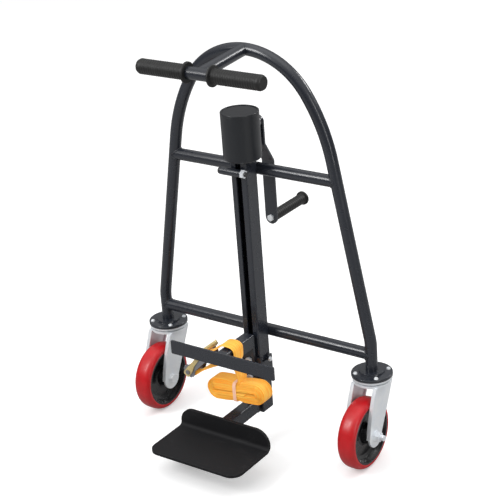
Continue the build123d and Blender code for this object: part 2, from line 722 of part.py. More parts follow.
def box_tube(bottom_z, rear_y, front_y):
    """A rectangular tube that runs straight forward from the carriage."""
    with BuildPart() as tube:
        with BuildSketch(Plane((0, rear_y, bottom_z + ARM_HEIGHT / 2), x_dir=(1, 0, 0), z_dir=(0, -1, 0))):
            RectangleRounded(2 * ARM_HALF, ARM_HEIGHT, 2.5)
            RectangleRounded(2 * ARM_HALF - 5, ARM_HEIGHT - 5, 1.0, mode=Mode.SUBTRACT)
        extrude(amount=rear_y - front_y)
    return tube.part


save(box_tube(LOWER_ARM_Z, SPINE_FRONT_Y, LIP_REAR_Y), "lower_arm")
save(box_tube(UPPER_ARM_Z, SPINE_FRONT_Y, REST_BAR_FRONT_Y + REST_BAR_THICK), "upper_arm")

PLATE_BEND_R = 14.0
LIP_CORNER_R = 32.0
PLATE_CORNER_R = 25.0
with BuildPart() as lifting_plate:
    with BuildSketch(Plane.YZ.offset(-PLATE_HALF)):
        with BuildLine():
            FilletPolyline(
                (PLATE_FRONT_Y, PLATE_Z),
                (LIP_REAR_Y, PLATE_Z),
                (LIP_REAR_Y, LIP_TOP_Z),
                radius=PLATE_BEND_R,
            )
            offset(amount=PLATE_THICK, side=Side.LEFT, closed=True)
        make_face()
    extrude(amount=2 * PLATE_HALF)
    fillet(lifting_plate.edges().filter_by(Axis.Z).group_by(Axis.Y)[0], PLATE_CORNER_R)
    fillet(lifting_plate.edges().filter_by(Axis.Y).group_by(Axis.Z)[-1], LIP_CORNER_R)
save(lifting_plate.part, "lifting_plate")

rest_bar_middle = (0, REST_BAR_FRONT_Y, UPPER_ARM_Z + ARM_HEIGHT / 2)
rest_bar_front = Plane(rest_bar_middle, x_dir=(1, 0, 0), z_dir=(0, 1, 0))
with BuildPart() as rest_bar:
    with BuildSketch(rest_bar_front):
        Rectangle(2 * REST_BAR_HALF, ARM_HEIGHT)
    extrude(amount=REST_BAR_THICK)
    fillet(rest_bar.edges().filter_by(Axis.Y), 2)
save(rest_bar.part, "rest_bar")

# ---- lashing strap and ratchet buckle --------------------------------------------------------
BUNDLE_LENGTH = 150.0
BUNDLE_HEIGHT = 50.0
BUNDLE_X = 1.0
BUNDLE_Z = 138.0
BUNDLE_TILT = 6.0


def strap_plane(x, middle_y, z):
    """Upright and square to the strap's width, at its rear edge, facing the load."""
    return Plane((x, middle_y + STRAP_WIDTH / 2, z), x_dir=(1, 0, 0), z_dir=(0, -1, 0))


with BuildPart() as strap_bundle:
    with BuildSketch(strap_plane(BUNDLE_X, BUNDLE_Y, BUNDLE_Z)):
        RectangleRounded(BUNDLE_LENGTH, BUNDLE_HEIGHT, BUNDLE_HEIGHT / 2 - 1, rotation=BUNDLE_TILT)
    extrude(amount=STRAP_WIDTH)
    fillet(strap_bundle.edges(), 4)
save(strap_bundle.part, "strap_bundle")

FRAME_HALF_Y = 20.5
BUCKLE_SHEET = 2.0
BUCKLE_LENGTH = 56.0
BUCKLE_WIDTH = 18.0
JOURNAL_R = 5.0
SPOOL_R = 8.0
RATCHET_WHEEL_R = 15.0
STRAP_BOLT_R = 3.5
HANDLE_REACH = 70.0
HANDLE_OPENING = 8.0
lean = radians(RATCHET_LEAN)
strap_bolt_x = RATCHET_X + BUCKLE_LENGTH * sin(lean)
strap_bolt_z = RATCHET_Z + BUCKLE_LENGTH * cos(lean)

WEBBING = 2.5
SIDE_SLACK = 0.7
TOP_SLACK = 4.0
BOTTOM_SLACK = 6.0
loop_half = ARM_HALF + SIDE_SLACK + WEBBING
loop_top = UPPER_ARM_Z + ARM_HEIGHT + TOP_SLACK + WEBBING
loop_bottom = UPPER_ARM_Z - BOTTOM_SLACK - WEBBING


def run_of_strap(start, end):
    """A straight length of strap between two points of the current strap_plane sketch."""
    (x0, z0), (x1, z1) = start, end
    length = hypot(x1 - x0, z1 - z0)
    with Locations(((x0 + x1) / 2, (z0 + z1) / 2)):
        Rectangle(length, WEBBING, rotation=degrees(atan2(z1 - z0, x1 - x0)))


with BuildPart() as strap_webbing:
    with BuildSketch(strap_plane(0, LOOP_Y, 0)):
        with Locations((0, (loop_top + loop_bottom) / 2)):
            RectangleRounded(2 * loop_half, loop_top - loop_bottom, 6)
            RectangleRounded(
                2 * (loop_half - WEBBING), loop_top - loop_bottom - 2 * WEBBING, 3.5, mode=Mode.SUBTRACT
            )
        run_of_strap(
            (0.5 - loop_half, loop_top - 10),
            (strap_bolt_x + 2, strap_bolt_z + STRAP_BOLT_R + WEBBING),
        )
        run_of_strap(
            (3 - loop_half, loop_bottom + 2),
            (RATCHET_X + 3, RATCHET_Z - SPOOL_R - WEBBING),
        )
    extrude(amount=STRAP_WIDTH)
save(strap_webbing.part, "strap_webbing")


def buckle_plane(y, angle=lean):
    """Square to the spool, with its x axis pointing up the buckle."""
    return Plane((RATCHET_X, y, RATCHET_Z), x_dir=(sin(angle), 0, cos(angle)), z_dir=(0, 1, 0))


with BuildPart() as ratchet_frame:
    for y in (LOOP_Y - FRAME_HALF_Y - BUCKLE_SHEET, LOOP_Y + FRAME_HALF_Y):
        with BuildSketch(buckle_plane(y)):
            with Locations((BUCKLE_LENGTH / 2, 0)):
                SlotOverall(BUCKLE_LENGTH + BUCKLE_WIDTH, BUCKLE_WIDTH)
            Circle(JOURNAL_R + RUNNING_GAP, mode=Mode.SUBTRACT)
        extrude(amount=BUCKLE_SHEET)
    with BuildSketch(buckle_plane(LOOP_Y - FRAME_HALF_Y)):
        with Locations((BUCKLE_LENGTH, 0)):
            Circle(STRAP_BOLT_R)
    extrude(amount=2 * FRAME_HALF_Y)
save(ratchet_frame.part, "ratchet_frame")

with BuildPart() as ratchet_spool:
    with BuildSketch(buckle_plane(LOOP_Y - FRAME_HALF_Y + 0.3)):
        Circle(SPOOL_R)
        Rectangle(2 * SPOOL_R - 5, 2.5, mode=Mode.SUBTRACT)
    extrude(amount=2 * FRAME_HALF_Y - 0.6)
    for side in (-1, 1):
        spool_end = buckle_plane(LOOP_Y + side * (FRAME_HALF_Y - 0.3))
        with BuildSketch(spool_end):
            Circle(JOURNAL_R)
        extrude(amount=side * 7.3)
        with BuildSketch(spool_end):
            Circle(RATCHET_WHEEL_R)
            with PolarLocations(RATCHET_WHEEL_R, RATCHET_TEETH):
                Circle(1.8, mode=Mode.SUBTRACT)
        extrude(amount=-side * BUCKLE_SHEET)
save(ratchet_spool.part, "ratchet_spool")

handle_angle = lean - radians(HANDLE_OPENING)
lever_gap = FRAME_HALF_Y + BUCKLE_SHEET + 0.6
with BuildPart() as ratchet_handle:
    for y in (LOOP_Y - lever_gap - BUCKLE_SHEET, LOOP_Y + lever_gap):
        with BuildSketch(buckle_plane(y, handle_angle)):
            with BuildLine():
                Polyline(
                    (-11, 6),
                    (-6, 8),
                    (12, 7),
                    (22, 4),
                    (HANDLE_REACH + 4, 4),
                    (HANDLE_REACH + 6, -5),
                    (22, -5),
                    (12, -7),
                    (-6, -8),
                    (-11, -6),
                    close=True,
                )
            make_face()
            Circle(JOURNAL_R + RUNNING_GAP, mode=Mode.SUBTRACT)
        extrude(amount=BUCKLE_SHEET)
    with BuildSketch(buckle_plane(LOOP_Y - lever_gap, handle_angle)):
        with Locations((HANDLE_REACH, -1)):
            Circle(5)
    extrude(amount=2 * lever_gap)
save(ratchet_handle.part, "ratchet_handle")

# ---- casters -------------------------------------------------------------------------------
KINGPIN_R = 6.0
CROWN_PLATE_R = 40.0
CROWN_PLATE_BOTTOM_Z = 176.4
FORK_RIB_X = 22.0
TYRE_INNER_R = 63.0
BEARING_R = 10.0
HUB_R = 18.0
HUB_HALF = WHEEL_HALF + 3.5
AXLE_NUT = 9.0
AXLE_FLATS = 19.0
LEFT_X = -CASTER_X
FOOT_BOSS_R = 26.5
FOOT_BOSS_HEIGHT = 4.0
TRACK_R = 31.0
TOP_PLATE = 5.0
LEG_TOP_Z = 178.0
FRONT_KNEE_Z = 122.0
REAR_KNEE_Z = 128.0
FORK_EYE_R = 24.0
LEG_RIB = 4.0
WASHER_R = 12.0
WASHER = 2.0
AXLE_START = -50.0
TYRE_SHOULDER = 8.0
TYRE_CROWN = 2.4
TYRE_FLAT_HALF = 15.0
CUT_THROUGH = 20.0


def bolt_circle():
    return PolarLocations(BOLT_CIRCLE_R, 4, start_angle=45)


def front_edge_of_leg(inset):
    """The front edge of a fork leg, moved back by inset, from the crown to the axle."""
    Spline((inset - 34, LEG_TOP_Z), (inset - 56, FRONT_KNEE_Z), (inset - 67, WHEEL_R))


def rear_edge_of_leg(inset):
    """The rear edge of a fork leg, moved forward by inset, from the axle to the crown."""
    Spline((-19 - inset, WHEEL_R), (8 - inset, REAR_KNEE_Z), (32 - inset, LEG_TOP_Z))


def caster_plane(z):
    return Plane((LEFT_X, 0, z))


def wheel_plane(offset_x):
    return Plane((LEFT_X + offset_x, -TRAIL, WHEEL_R), x_dir=(0, 1, 0), z_dir=(1, 0, 0))


wheel_section = Plane((LEFT_X, -TRAIL, WHEEL_R), x_dir=(1, 0, 0), z_dir=(0, -1, 0))
wheel_axis = Axis((LEFT_X, -TRAIL, WHEEL_R), (1, 0, 0))
swivel_groove = ball_groove(0, RACE_Z, RACE_R, BALL_R).moved(Location((LEFT_X, 0, 0)))

# The painted round foot plate of a leg, with a stepped boss around the tube.
with BuildPart() as flange:
    with BuildSketch(caster_plane(FLANGE_BOTTOM_Z)):
        Circle(FLANGE_R)
    extrude(amount=FLANGE_TOP_Z - FLANGE_BOTTOM_Z)
    fillet(flange.edges().group_by(Axis.Z)[-1], 1.5)
    with BuildSketch(caster_plane(FLANGE_TOP_Z)):
        Circle(FOOT_BOSS_R)
    extrude(amount=FOOT_BOSS_HEIGHT, taper=20)
    with BuildSketch(caster_plane(FLANGE_TOP_Z)):
        Circle(TUBE_R)
    extrude(amount=CUT_THROUGH, mode=Mode.SUBTRACT)
    with BuildSketch(caster_plane(FLANGE_BOTTOM_Z)):
        with bolt_circle():
            Circle(M6_R)
    extrude(amount=CUT_THROUGH, mode=Mode.SUBTRACT)

# The caster's fixed plate: four tapped holes above and the upper ball track below.
with BuildPart() as top_race:
    with BuildSketch(caster_plane(FLANGE_BOTTOM_Z - TOP_PLATE)):
        Circle(FLANGE_R - 1.5)
    extrude(amount=TOP_PLATE)
    with BuildSketch(caster_plane(RACE_BOTTOM_Z)):
        Circle(TRACK_R)
    extrude(amount=FLANGE_BOTTOM_Z - RACE_BOTTOM_Z - 2)
    with BuildSketch(caster_plane(RACE_BOTTOM_Z)):
        Circle(KINGPIN_R)
    extrude(amount=CUT_THROUGH, mode=Mode.SUBTRACT)
    with BuildSketch(caster_plane(RACE_BOTTOM_Z)):
        with bolt_circle():
            Circle(M6_R)
    extrude(amount=CUT_THROUGH, mode=Mode.SUBTRACT)
    add(swivel_groove, mode=Mode.SUBTRACT)

# A pressed swivel fork: a round crown plate and two flanged legs that sweep back to the axle.
with BuildPart() as fork:
    with BuildSketch(caster_plane(CROWN_PLATE_BOTTOM_Z)):
        Circle(CROWN_PLATE_R)
    extrude(amount=CROWN_PLATE_TOP_Z - CROWN_PLATE_BOTTOM_Z)
    for side in (-1, 1):
        with BuildSketch(Plane.YZ.offset(LEFT_X + side * FORK_INNER)):
            with BuildLine():
                front_edge_of_leg(0)
                Line((-67, WHEEL_R), (-19, WHEEL_R))
                rear_edge_of_leg(0)
                Line((32, LEG_TOP_Z), (-34, LEG_TOP_Z))
            make_face()
            with Locations((-TRAIL, WHEEL_R)):
                Circle(FORK_EYE_R)
        extrude(amount=side * (FORK_OUTER - FORK_INNER))
        with BuildSketch(Plane.YZ.offset(LEFT_X + side * FORK_RIB_X)):
            with BuildLine():
                front_edge_of_leg(0)
                Line((-67, WHEEL_R), (LEG_RIB - 67, WHEEL_R))
                front_edge_of_leg(LEG_RIB)
                Line((LEG_RIB - 34, LEG_TOP_Z), (-34, LEG_TOP_Z))
            make_face()
            with BuildLine():
                rear_edge_of_leg(0)
                Line((32, LEG_TOP_Z), (32 - LEG_RIB, LEG_TOP_Z))
                rear_edge_of_leg(LEG_RIB)
                Line((-19 - LEG_RIB, WHEEL_R), (-19, WHEEL_R))
            make_face()
        extrude(amount=side * (FORK_OUTER - FORK_RIB_X))
    with BuildSketch(wheel_plane(-FORK_OUTER - 1)):
        Circle(AXLE_R)
    extrude(amount=2 * FORK_OUTER + 2, mode=Mode.SUBTRACT)
    with BuildSketch(caster_plane(CROWN_PLATE_BOTTOM_Z)):
        Circle(KINGPIN_R + 0.1)
    extrude(amount=CUT_THROUGH, mode=Mode.SUBTRACT)
    add(swivel_groove, mode=Mode.SUBTRACT)

# A crowned polyurethane band around the core.
with BuildPart() as tyre:
    with BuildSketch(wheel_section):
        with BuildLine():
            Polyline(
                (-WHEEL_HALF, WHEEL_R - TYRE_SHOULDER),
                (-WHEEL_HALF, TYRE_INNER_R),
                (WHEEL_HALF, TYRE_INNER_R),
                (WHEEL_HALF, WHEEL_R - TYRE_SHOULDER),
            )
            Spline(
                (WHEEL_HALF, WHEEL_R - TYRE_SHOULDER),
                (TYRE_FLAT_HALF, WHEEL_R - TYRE_CROWN),
                (0, WHEEL_R),
                (-TYRE_FLAT_HALF, WHEEL_R - TYRE_CROWN),
                (-WHEEL_HALF, WHEEL_R - TYRE_SHOULDER),
            )
        make_face()
    revolve(axis=wheel_axis)

# The moulded wheel centre: a lipped rim, a thin deep-set web and a long hub.
with BuildPart() as wheel_core:
    with BuildSketch(wheel_section):
        half_section = [
            (HUB_HALF, BEARING_R),
            (HUB_HALF, HUB_R - 1.5),
            (HUB_HALF - 3, HUB_R),
            (6, HUB_R + 4),
            (4, HUB_R + 8),
            (4, TYRE_INNER_R - 16),
            (7, TYRE_INNER_R - 9),
            (WHEEL_HALF - 3, TYRE_INNER_R - 5),
            (WHEEL_HALF, TYRE_INNER_R - 4),
            (WHEEL_HALF, TYRE_INNER_R),
        ]
        with BuildLine():
            Polyline(half_section + [(-x, r) for x, r in reversed(half_section)], close=True)
        make_face()
    revolve(axis=wheel_axis)

with BuildPart() as wheel_bearing:
    with BuildSketch(wheel_plane(-FORK_INNER + 0.5)):
        Circle(BEARING_R)
        Circle(AXLE_R + RUNNING_GAP, mode=Mode.SUBTRACT)
    extrude(amount=2 * FORK_INNER - 1)

with BuildPart() as axle_bolt:
    with BuildSketch(wheel_plane(AXLE_START)):
        Circle(AXLE_R)
    extrude(amount=FORK_OUTER - AXLE_START)
    add(hexagon_along(wheel_plane(FORK_OUTER), AXLE_FLATS, 7))

nut_start = Plane((LEFT_X - FORK_OUTER, -TRAIL, WHEEL_R), x_dir=(0, 1, 0), z_dir=(-1, 0, 0))
with BuildPart() as axle_nut:
    with BuildSketch(nut_start):
        Circle(WASHER_R)
    extrude(amount=WASHER)
    add(hexagon_along(nut_start.offset(WASHER), AXLE_FLATS, AXLE_NUT))
    with BuildSketch(nut_start):
        Circle(AXLE_R)
    extrude(amount=CUT_THROUGH, mode=Mode.SUBTRACT)

caster_parts = {
    "flange": flange,
    "top_race": top_race,
    "fork": fork,
    "tyre": tyre,
    "wheel_core": wheel_core,
    "wheel_bearing": wheel_bearing,
    "axle_bolt": axle_bolt,
    "axle_nut": axle_nut,
}
for name, body in caster_parts.items():
    save(body.part, f"left_{name}")
    save(mirror(body.part, about=Plane.YZ), f"right_{name}")

# Four button-head screws hold each caster to its flange.
with BuildPart() as flange_bolts:
    with BuildSketch(caster_plane(FLANGE_BOTTOM_Z - 4)):
        with bolt_circle():
            Circle(M6_R)
    extrude(amount=FLANGE_TOP_Z - FLANGE_BOTTOM_Z + 4)
    with BuildSketch(caster_plane(FLANGE_TOP_Z)):
        with bolt_circle():
            Circle(4.8)
    extrude(amount=2.6, taper=30)
    mirror(about=Plane.YZ)
save(flange_bolts.part, "flange_bolts")

with BuildPart() as kingpins:
    with BuildSketch(caster_plane(CROWN_PLATE_BOTTOM_Z - 2.4)):
        Circle(KINGPIN_R)
    extrude(amount=FLANGE_BOTTOM_Z - CROWN_PLATE_BOTTOM_Z + 2.4)
    with BuildSketch(caster_plane(CROWN_PLATE_BOTTOM_Z - 8)):
        Circle(12)
    extrude(amount=7.9)
    mirror(about=Plane.YZ)
save(kingpins.part, "kingpins")

with BuildPart() as swivel_balls:
    with Locations((LEFT_X, 0, RACE_Z)):
        with PolarLocations(RACE_R, RACE_BALLS):
            Sphere(BALL_R)
    mirror(about=Plane.YZ)
save(swivel_balls.part, "swivel_balls")
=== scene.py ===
import json
import math

import bpy
import bmesh
from mathutils import Matrix, Vector, noise


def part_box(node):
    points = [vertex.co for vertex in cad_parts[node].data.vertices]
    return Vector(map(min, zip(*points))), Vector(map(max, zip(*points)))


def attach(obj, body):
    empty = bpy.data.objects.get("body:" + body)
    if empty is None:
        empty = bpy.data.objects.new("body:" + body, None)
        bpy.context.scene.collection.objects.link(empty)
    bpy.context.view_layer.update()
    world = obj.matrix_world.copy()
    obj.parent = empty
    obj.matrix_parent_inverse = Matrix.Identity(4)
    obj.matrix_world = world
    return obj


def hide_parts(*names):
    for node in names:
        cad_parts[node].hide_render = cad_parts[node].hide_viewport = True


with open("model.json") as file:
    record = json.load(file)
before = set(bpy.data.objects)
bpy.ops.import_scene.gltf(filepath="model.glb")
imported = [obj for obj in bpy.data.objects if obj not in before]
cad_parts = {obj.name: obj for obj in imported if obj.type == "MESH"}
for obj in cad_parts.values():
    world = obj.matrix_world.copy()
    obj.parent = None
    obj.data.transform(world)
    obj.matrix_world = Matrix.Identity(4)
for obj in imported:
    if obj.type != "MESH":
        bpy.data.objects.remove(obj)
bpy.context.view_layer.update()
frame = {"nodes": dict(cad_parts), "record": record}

nodes = frame["nodes"]
MM = 0.001


# ---- small tools for node materials --------------------------------------------------

BEVEL_SAMPLES = 6
# Cosines between the rounded and the true normal where an edge's mask starts and is full.
EDGE_STARTS = 0.985
EDGE_FULL = 0.86

class Shader:
    """Builds one procedural material: adds nodes to it and joins them."""

    def __init__(self, name):
        self.material = bpy.data.materials.new(name)
        self.material.use_nodes = True
        self.tree = self.material.node_tree
        self.surface = self.tree.nodes["Principled BSDF"]
        self.object_place = self.add("ShaderNodeTexCoord").outputs["Object"]

    def add(self, kind, inputs=None, **settings):
        node = self.tree.nodes.new(kind)
        for key, value in settings.items():
            setattr(node, key, value)
        for key, value in (inputs or {}).items():
            self.feed(node.inputs[key], value)
        return node

    def feed(self, socket, value):
        if isinstance(value, bpy.types.NodeSocket):
            self.tree.links.new(value, socket)
        else:
            socket.default_value = value

    def set(self, **inputs):
        for key, value in inputs.items():
            self.feed(self.surface.inputs[key.replace("_", " ")], value)

    def stretch(self, scale):
        """The object's own place, scaled by a different amount along each axis."""
        inputs = {"Vector": self.object_place, "Scale": scale}
        return self.add("ShaderNodeMapping", inputs).outputs["Vector"]

    def noise(self, scale, detail=3.0, roughness=0.5, place=None, distortion=0.0):
        inputs = {
            "Vector": place or self.object_place,
            "Scale": scale,
            "Detail": detail,
            "Roughness": roughness,
            "Distortion": distortion,
        }
        return self.add("ShaderNodeTexNoise", inputs).outputs["Fac"]

    def math(self, operation, a, b=0.0, clamp=False):
        node = self.add("ShaderNodeMath", operation=operation, use_clamp=clamp)
        self.feed(node.inputs[0], a)
        self.feed(node.inputs[1], b)
        return node.outputs[0]

    def fit(self, value, low, high, to_low=0.0, to_high=1.0):
        inputs = {"Value": value, "From Min": low, "From Max": high, "To Min": to_low, "To Max": to_high}
        return self.add("ShaderNodeMapRange", inputs).outputs["Result"]

    def mix(self, factor, a, b):
        node = self.add("ShaderNodeMix", data_type="RGBA")
        self.feed(node.inputs[0], factor)
        self.feed(node.inputs[6], a)
        self.feed(node.inputs[7], b)
        return node.outputs[2]

    def bump(self, height, strength, depth, normal=None):
        inputs = {"Height": height, "Strength": strength, "Distance": depth}
        if normal is not None:
            inputs["Normal"] = normal
        return self.add("ShaderNodeBump", inputs).outputs["Normal"]

    def soft_edges(self, radius):
        """A normal that rounds sharp edges, and a mask that is 1 along them."""
        rounded = self.add("ShaderNodeBevel", {"Radius": radius}, samples=BEVEL_SAMPLES).outputs["Normal"]
        true_normal = self.add("ShaderNodeNewGeometry").outputs["Normal"]
        dot = self.add("ShaderNodeVectorMath", {0: rounded, 1: true_normal}, operation="DOT_PRODUCT")
        edge = self.fit(dot.outputs["Value"], EDGE_STARTS, EDGE_FULL)
        return rounded, edge

    def seen_by_camera(self):
        """1 where the camera looks straight at the surface, 0 for light that bounces."""
        return self.add("ShaderNodeLightPath").outputs["Is Camera Ray"]

    def specular(self, level):
        self.surface.inputs["Specular IOR Level"].default_value = level


def rgb(r, g, b):
    return (r, g, b, 1.0)


def scaled(colour, factor, lift=0.0):
    """A colour made darker or lighter."""
    return rgb(*(min(1.0, c * factor + lift) for c in colour[:3]))


# ---- materials ------------------------------------------------------------------------

def paint(name, colour, worn, gloss, peel=0.05):
    """Powder coat: fine orange peel, faint cloudiness, dust in the hollows, rubbed edges."""
    s = Shader(name)
    rounded, edge = s.soft_edges(0.9 * MM)
    cloud = s.noise(9.0, 4.0, 0.6)
    speck = s.noise(700.0, 2.0, 0.6)
    rub = s.fit(s.noise(160.0, 5.0, 0.7), 0.52, 0.72)
    wear = s.math("MULTIPLY", edge, rub, clamp=True)
    tone = s.mix(s.fit(cloud, 0.3, 0.7), colour, scaled(colour, 1.18))
    tone = s.mix(s.fit(speck, 0.5, 0.9, 0.0, 0.35), tone, scaled(colour, 0.72))
    tone = s.mix(s.math("MULTIPLY", wear, 0.55), tone, worn)
    rough = s.fit(s.noise(24.0, 5.0, 0.65), 0.25, 0.75, gloss - 0.05, gloss + 0.07)
    normal = s.bump(s.noise(520.0, 2.0, 0.5), peel, 0.4 * MM, rounded)
    s.set(Base_Color=tone, Roughness=rough, Normal=normal, Coat_Weight=0.25, Coat_Roughness=0.18)
    s.specular(0.55)
    return s.material


def textured_paint(name):
    """Matt black wrinkle coat, with the scuffs that loads leave on it."""
    s = Shader(name)
    rounded, edge = s.soft_edges(1.0 * MM)
    grain = s.noise(900.0, 3.0, 0.6)
    scuff = s.fit(s.noise(14.0, 6.0, 0.72, s.stretch((1.0, 3.5, 1.0)), 0.6), 0.56, 0.78)
    tone = s.mix(s.fit(grain, 0.35, 0.75), rgb(0.005, 0.005, 0.006), rgb(0.013, 0.013, 0.015))
    tone = s.mix(s.math("MULTIPLY", scuff, 0.3), tone, rgb(0.06, 0.06, 0.062))
    tone = s.mix(s.math("MULTIPLY", edge, s.fit(grain, 0.4, 0.6, 0.1, 0.5)), tone, rgb(0.12, 0.12, 0.12))
    rough = s.fit(grain, 0.3, 0.7, 0.6, 0.75)
    s.specular(0.3)
    s.set(Base_Color=tone, Roughness=rough, Normal=s.bump(grain, 0.35, 0.5 * MM, rounded))
    return s.material


def rubber(name):
    """Moulded grip rubber: dull, faintly pitted, with a little dust in the grooves."""
    s = Shader(name)
    rounded, edge = s.soft_edges(0.5 * MM)
    pits = s.noise(1100.0, 3.0, 0.6)
    dust = s.noise(60.0, 5.0, 0.6)
    tone = s.mix(s.fit(dust, 0.4, 0.75, 0.0, 0.6), rgb(0.006, 0.006, 0.006), rgb(0.02, 0.02, 0.019))
    tone = s.mix(s.math("MULTIPLY", edge, 0.3), tone, rgb(0.05, 0.05, 0.05))
    rough = s.fit(pits, 0.3, 0.7, 0.42, 0.6)
    s.set(Base_Color=tone, Roughness=rough, Normal=s.bump(pits, 0.25, 0.3 * MM, rounded))
    return s.material


def plated(name, bright, dull, rough_low, rough_high, tint=None):
    """Plated steel: cloudy crystal pattern, fine rolling lines, darker edges."""
    s = Shader(name)
    rounded, edge = s.soft_edges(0.7 * MM)
    cells = s.add("ShaderNodeTexVoronoi", {"Vector": s.object_place, "Scale": 260.0}).outputs["Distance"]
    cloud = s.noise(38.0, 5.0, 0.6)
    lines = s.noise(90.0, 3.0, 0.55, s.stretch((14.0, 14.0, 1.0)))
    tone = s.mix(s.fit(cloud, 0.32, 0.72), dull, bright)
    if tint is not None:
        tone = s.mix(s.fit(s.noise(55.0, 3.0, 0.5, None, 1.2), 0.5, 0.72, 0.0, 0.6), tone, tint)
    tone = s.mix(s.math("MULTIPLY", edge, 0.35), tone, scaled(dull, 0.55))
    rough = s.fit(s.math("ADD", s.math("MULTIPLY", cells, 0.5), lines), 0.3, 1.0, rough_low, rough_high)
    normal = s.bump(lines, 0.06, 0.2 * MM, rounded)
    s.set(Base_Color=tone, Metallic=0.35, Roughness=rough, Normal=normal)
    return s.material


def turned(name, colour, rough):
    """Machined metal: tool marks round the axis and a film of grease."""
    s = Shader(name)
    rounded, edge = s.soft_edges(0.4 * MM)
    marks = s.noise(120.0, 4.0, 0.7, s.stretch((1.0, 1.0, 12.0)))
    grease = s.fit(s.noise(45.0, 4.0, 0.6), 0.45, 0.7)
    tone = s.mix(s.math("MULTIPLY", grease, 0.55), colour, scaled(colour, 0.45))
    tone = s.mix(s.math("MULTIPLY", edge, 0.4), tone, rgb(0.75, 0.75, 0.75))
    roughness = s.fit(marks, 0.3, 0.7, rough - 0.06, rough + 0.1)
    s.set(Base_Color=tone, Metallic=1.0, Roughness=roughness, Normal=s.bump(marks, 0.1, 0.2 * MM, rounded))
    return s.material


def moulded(name, low, high, rough, sheen=0.0):
    """Moulded plastic: a fine spark texture and slight flow marks."""
    s = Shader(name)
    rounded, edge = s.soft_edges(0.6 * MM)
    spark = s.noise(1300.0, 2.0, 0.5)
    flow = s.noise(28.0, 4.0, 0.6, None, 0.8)
    tone = s.mix(s.fit(flow, 0.35, 0.7), low, high)
    tone = s.mix(s.math("MULTIPLY", edge, 0.25), tone, scaled(high, 2.5, 0.02))
    roughness = s.fit(flow, 0.3, 0.7, rough - 0.05, rough + 0.08)
    s.set(Base_Color=tone, Roughness=roughness, Normal=s.bump(spark, 0.12, 0.25 * MM, rounded))
    s.set(Coat_Weight=sheen, Coat_Roughness=0.15)
    return s.material


def polyurethane(name):
    """Cast red polyurethane: deep colour, satin skin, a tread that picks up dust and fine scuffs."""
    s = Shader(name)
    rounded, edge = s.soft_edges(1.2 * MM)
    cloud = s.noise(30.0, 4.0, 0.6)
    scuff = s.fit(s.noise(210.0, 6.0, 0.75, None, 0.4), 0.56, 0.74)
    tone = s.mix(s.fit(cloud, 0.3, 0.7), rgb(0.54, 0.001, 0.004), rgb(0.66, 0.003, 0.010))
    tone = s.mix(s.math("MULTIPLY", scuff, 0.16), tone, rgb(0.72, 0.16, 0.14))
    tone = s.mix(s.math("MULTIPLY", edge, 0.25), tone, rgb(0.8, 0.2, 0.2))
    rough = s.fit(s.noise(85.0, 5.0, 0.65), 0.3, 0.7, 0.30, 0.46)
    s.set(Base_Color=tone, Roughness=rough, Normal=s.bump(scuff, 0.10, 0.3 * MM, rounded))
    s.set(Subsurface_Weight=0.08, Subsurface_Scale=2.0 * MM, Coat_Weight=0.2, Coat_Roughness=0.2)
    return s.material


WARP_PITCH = 1.1 * MM
WEFT_PITCH = 1.5 * MM
# Strength of the painted glow: emission that only the camera sees, brightening the webbing.
WEBBING_PAINTED_GLOW = 0.42


def webbing(name, light, deep):
    """Woven polyester with a painted glow: it emits its own colour to camera rays only, so it looks brighter
    than the lamps make it. Its UV map runs in metres: u along the strap, v across it.
    """
    s = Shader(name)
    split = s.add("ShaderNodeSeparateXYZ", {"Vector": s.add("ShaderNodeTexCoord").outputs["UV"]})
    along, across = split.outputs["X"], split.outputs["Y"]
    warp = s.math("SINE", s.math("MULTIPLY", across, 2 * math.pi / WARP_PITCH))
    weft_place = s.math("ADD", s.math("MULTIPLY", along, 2 * math.pi / WEFT_PITCH),
                        s.math("MULTIPLY", across, math.pi / WARP_PITCH))
    weft = s.math("SINE", weft_place)
    weave = s.math("MULTIPLY", warp, weft)
    streak_place = s.add("ShaderNodeCombineXYZ", {"X": s.math("MULTIPLY", along, 9.0),
                                                  "Y": s.math("MULTIPLY", across, 300.0)}).outputs["Vector"]
    streaks = s.noise(1.0, 3.0, 0.6, streak_place)
    blotch = s.noise(34.0, 4.0, 0.6)
    tone = s.mix(s.fit(streaks, 0.32, 0.7), deep, light)
    tone = s.mix(s.fit(blotch, 0.35, 0.8, 0.0, 0.35), tone, deep)
    tone = s.mix(s.fit(weave, -1.0, 1.0, 0.22, 0.0), tone, scaled(deep, 0.4))
    s.set(Base_Color=tone, Roughness=s.fit(streaks, 0.3, 0.7, 0.5, 0.68))
    s.set(Normal=s.bump(weave, 0.5, 0.25 * MM, s.bump(streaks, 0.3, 0.5 * MM)))
    s.set(Sheen_Weight=0.2, Sheen_Roughness=0.4, Subsurface_Weight=0.12, Subsurface_Scale=1.5 * MM)
    # Painted glow: camera-only emission in the webbing's own colour, standing in for light.
    s.set(Emission_Color=tone, Emission_Strength=s.math("MULTIPLY", s.seen_by_camera(), WEBBING_PAINTED_GLOW))
    return s.material


